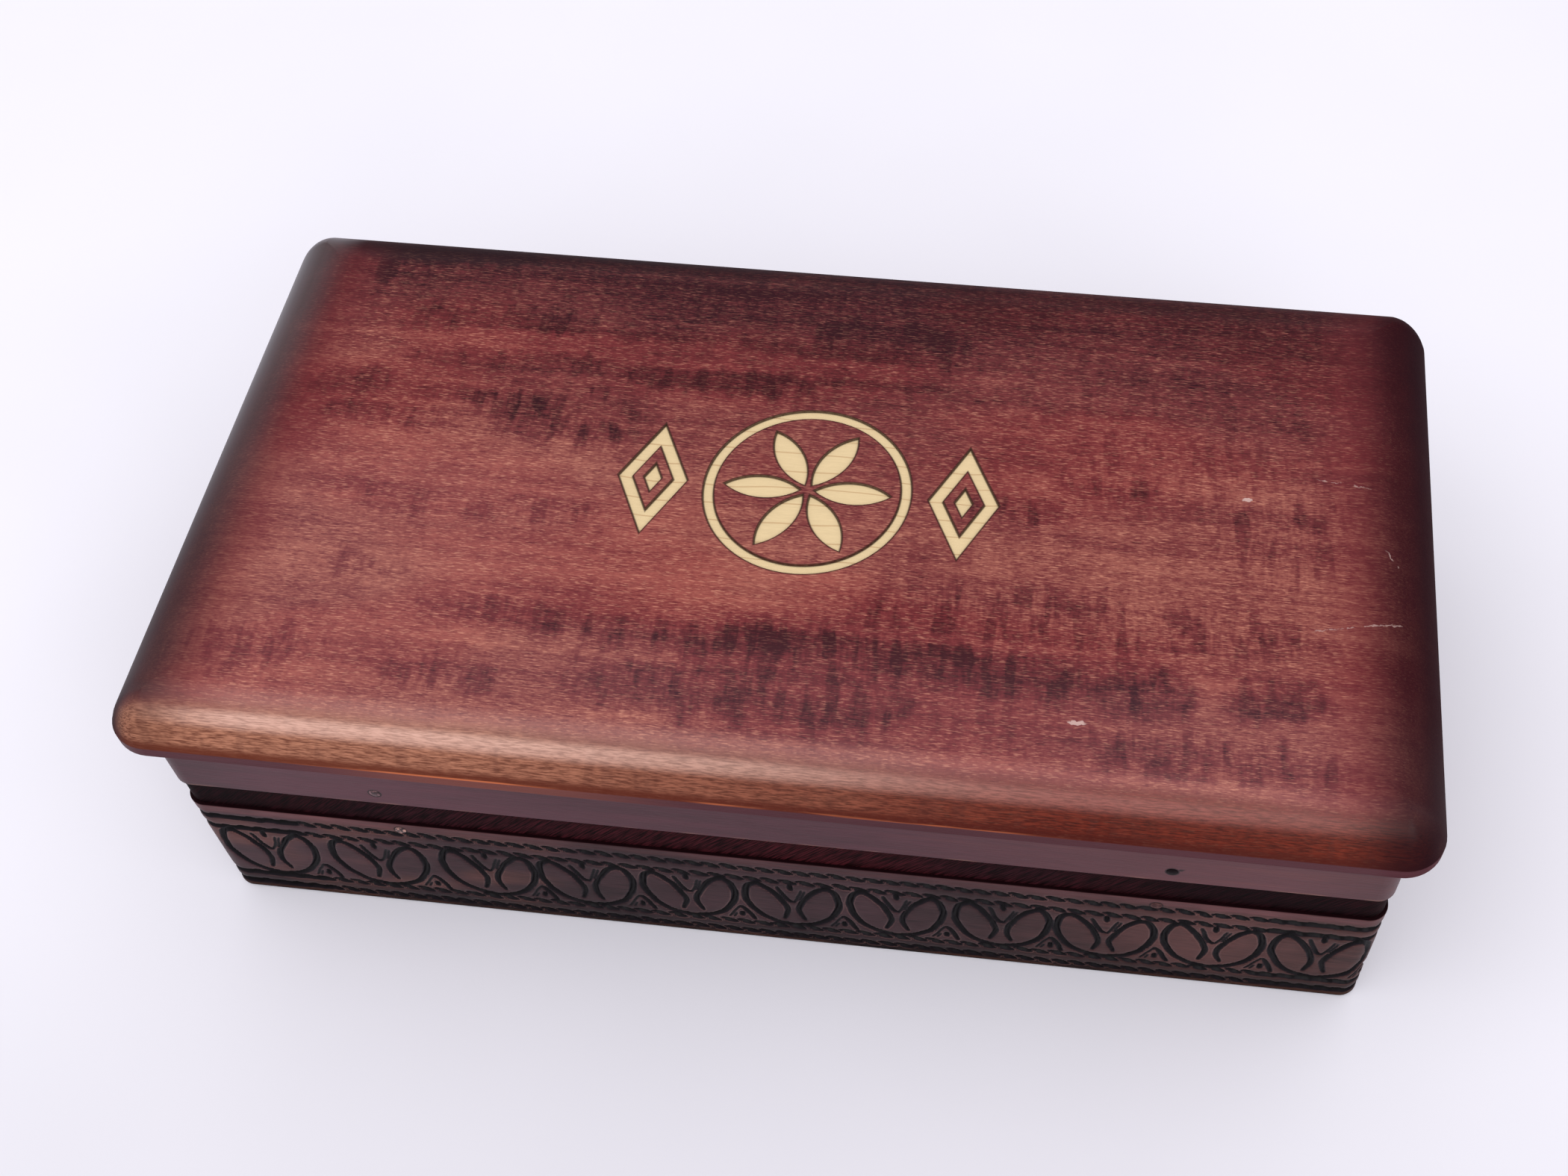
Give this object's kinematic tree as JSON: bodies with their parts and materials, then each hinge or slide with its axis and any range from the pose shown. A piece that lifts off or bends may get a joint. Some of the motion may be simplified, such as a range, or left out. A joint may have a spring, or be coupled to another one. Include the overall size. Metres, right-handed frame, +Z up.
{
  "type": "sliding lid wooden box",
  "caption": "Long wooden keepsake box with carved walls, a dark rail under a framed lid with rounded shoulders, and a lid that slides off endways on dovetail runners.",
  "frame": {"origin": "centre of the rectangle that the box stands on", "axes": "+X along the box, away from the end where the lid slides off; -Y is the front; +Z is up"},
  "size_m": [0.3, 0.1624, 0.089],
  "materials": {
    "polished_lid_wood": "polished",
    "plum_stained_wood": "satin",
    "carved_wall_wood": "satin",
    "dark_rail_wood": "matte",
    "plain_bottom_wood": "matte",
    "pin_wood": "satin"
  },
  "bodies": {
    "box": {"bottom_board": "plain_bottom_wood", "front_wall": "carved_wall_wood", "back_wall": "carved_wall_wood", "left_end_wall": "carved_wall_wood", "right_end_wall": "carved_wall_wood", "front_rail": "dark_rail_wood", "back_rail": "dark_rail_wood", "left_end_rail": "dark_rail_wood", "right_end_rail": "dark_rail_wood", "front_wall_pins": "pin_wood", "back_wall_pins": "pin_wood"},
    "lid": {"lid_board": "polished_lid_wood", "front_frame": "plum_stained_wood", "back_frame": "plum_stained_wood", "left_end_frame": "plum_stained_wood", "right_end_frame": "plum_stained_wood", "front_runner": "dark_rail_wood", "back_runner": "dark_rail_wood", "front_frame_pins": "pin_wood", "back_frame_pins": "pin_wood"}
  },
  "joints": [
    {"name": "lid_slide", "type": "slide", "parent": "box", "child": "lid", "axis": [-1, 0, 0], "range_m": [0, 0.3]}
  ]
}
